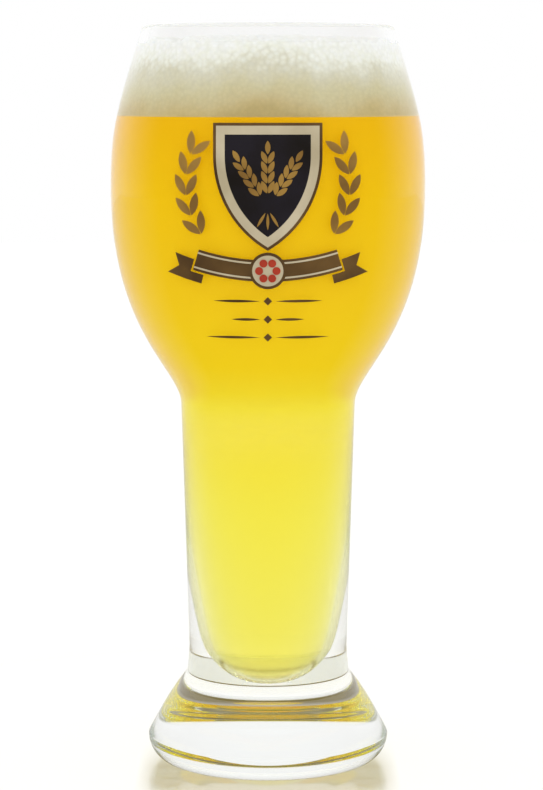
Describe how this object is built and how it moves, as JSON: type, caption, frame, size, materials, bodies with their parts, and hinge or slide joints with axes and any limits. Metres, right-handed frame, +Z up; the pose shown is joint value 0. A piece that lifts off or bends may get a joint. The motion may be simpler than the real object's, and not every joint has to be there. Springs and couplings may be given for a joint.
{
  "type": "wheat beer glass",
  "caption": "Half-litre wheat beer glass with a round bowl on a straight shaft and a solid flared foot, filled with golden beer under a head of foam, with a printed badge on the bowl.",
  "frame": {"origin": "on the table under the axis of the glass", "axes": "+Z up along the axis of the glass, -Y towards the badge on the front of the bowl"},
  "size_m": [0.0912, 0.0915, 0.215],
  "materials": {
    "clear_glass": "polished",
    "beer": "polished",
    "foam": "matte",
    "cream_ink": "gloss",
    "navy_ink": "gloss",
    "gold_ink": "gloss",
    "brown_ink": "gloss",
    "red_ink": "gloss"
  },
  "bodies": {
    "root": {"glass_body": "clear_glass", "glass_foot": "clear_glass", "beer": "beer", "foam_head": "foam", "badge_cream": "cream_ink", "badge_navy": "navy_ink", "badge_gold": "gold_ink", "badge_brown": "brown_ink", "badge_red": "red_ink"}
  },
  "joints": []
}
